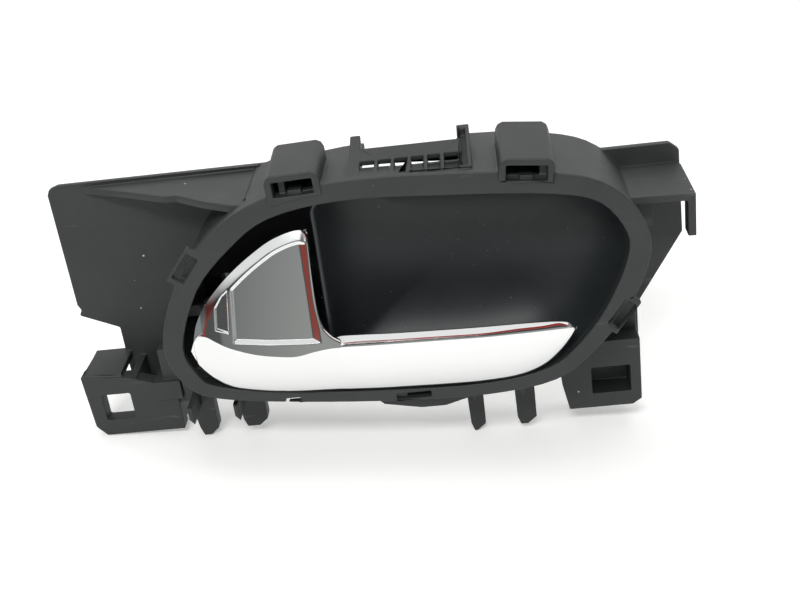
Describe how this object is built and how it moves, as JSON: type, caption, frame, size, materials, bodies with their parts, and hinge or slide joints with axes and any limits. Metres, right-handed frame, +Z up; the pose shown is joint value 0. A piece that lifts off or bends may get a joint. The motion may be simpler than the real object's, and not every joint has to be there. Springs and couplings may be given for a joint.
{
  "type": "car interior door handle",
  "caption": "Interior car door handle: black moulded housing with clip hoods, tabs and finger cup, and a chrome pull lever on a sprung vertical hinge that draws a latch cable.",
  "frame": {"origin": "middle of the ring's opening, in the plane of the ring's front face", "axes": "+X towards the lever's free end, +Y into the door, +Z up as fitted in the door"},
  "size_m": [0.2076, 0.0572, 0.1094],
  "materials": {
    "housing_plastic": "grained black",
    "cup_plastic": "smooth satin blue-black",
    "chrome_plating": "bright plated",
    "carrier_plastic": "satin black",
    "zinc_steel": "zinc plated",
    "bright_steel": "ground",
    "spring_steel": "drawn",
    "bush_plastic": "natural white",
    "bumper_rubber": "matt",
    "swivel_brass": "turned",
    "holder_plastic": "satin black"
  },
  "bodies": {
    "base": {"housing": "housing_plastic", "finger_cup": "cup_plastic", "hinge_pin": "bright_steel", "pin_clip": "spring_steel", "hinge_bush_upper": "bush_plastic", "hinge_bush_lower": "bush_plastic", "return_spring": "spring_steel", "rest_bumper": "bumper_rubber", "travel_bumper": "bumper_rubber", "sheath_holder": "holder_plastic"},
    "lever": {"lever_shell": "chrome_plating", "lever_carrier": "carrier_plastic", "shell_screws": "zinc_steel"},
    "swivel": {"cable_swivel": "swivel_brass"}
  },
  "joints": [
    {"name": "lever_swing", "type": "hinge", "parent": "base", "child": "lever", "pos_m": [-0.061, 0.007, -0.012], "axis": [0, 0, -1], "range_deg": [0, 25], "stiffness_Nm_per_rad": 0.25, "springref_deg": -28.65, "deforming": ["return_spring"]},
    {"name": "swivel_turn", "type": "hinge", "parent": "lever", "child": "swivel", "pos_m": [-0.061, 0.046, -0.012], "axis": [0, 0, -1], "range_deg": [-25, 0]}
  ],
  "couplings": [
    {"joint": "swivel_turn", "follows": "lever_swing", "ratio": -1}
  ]
}
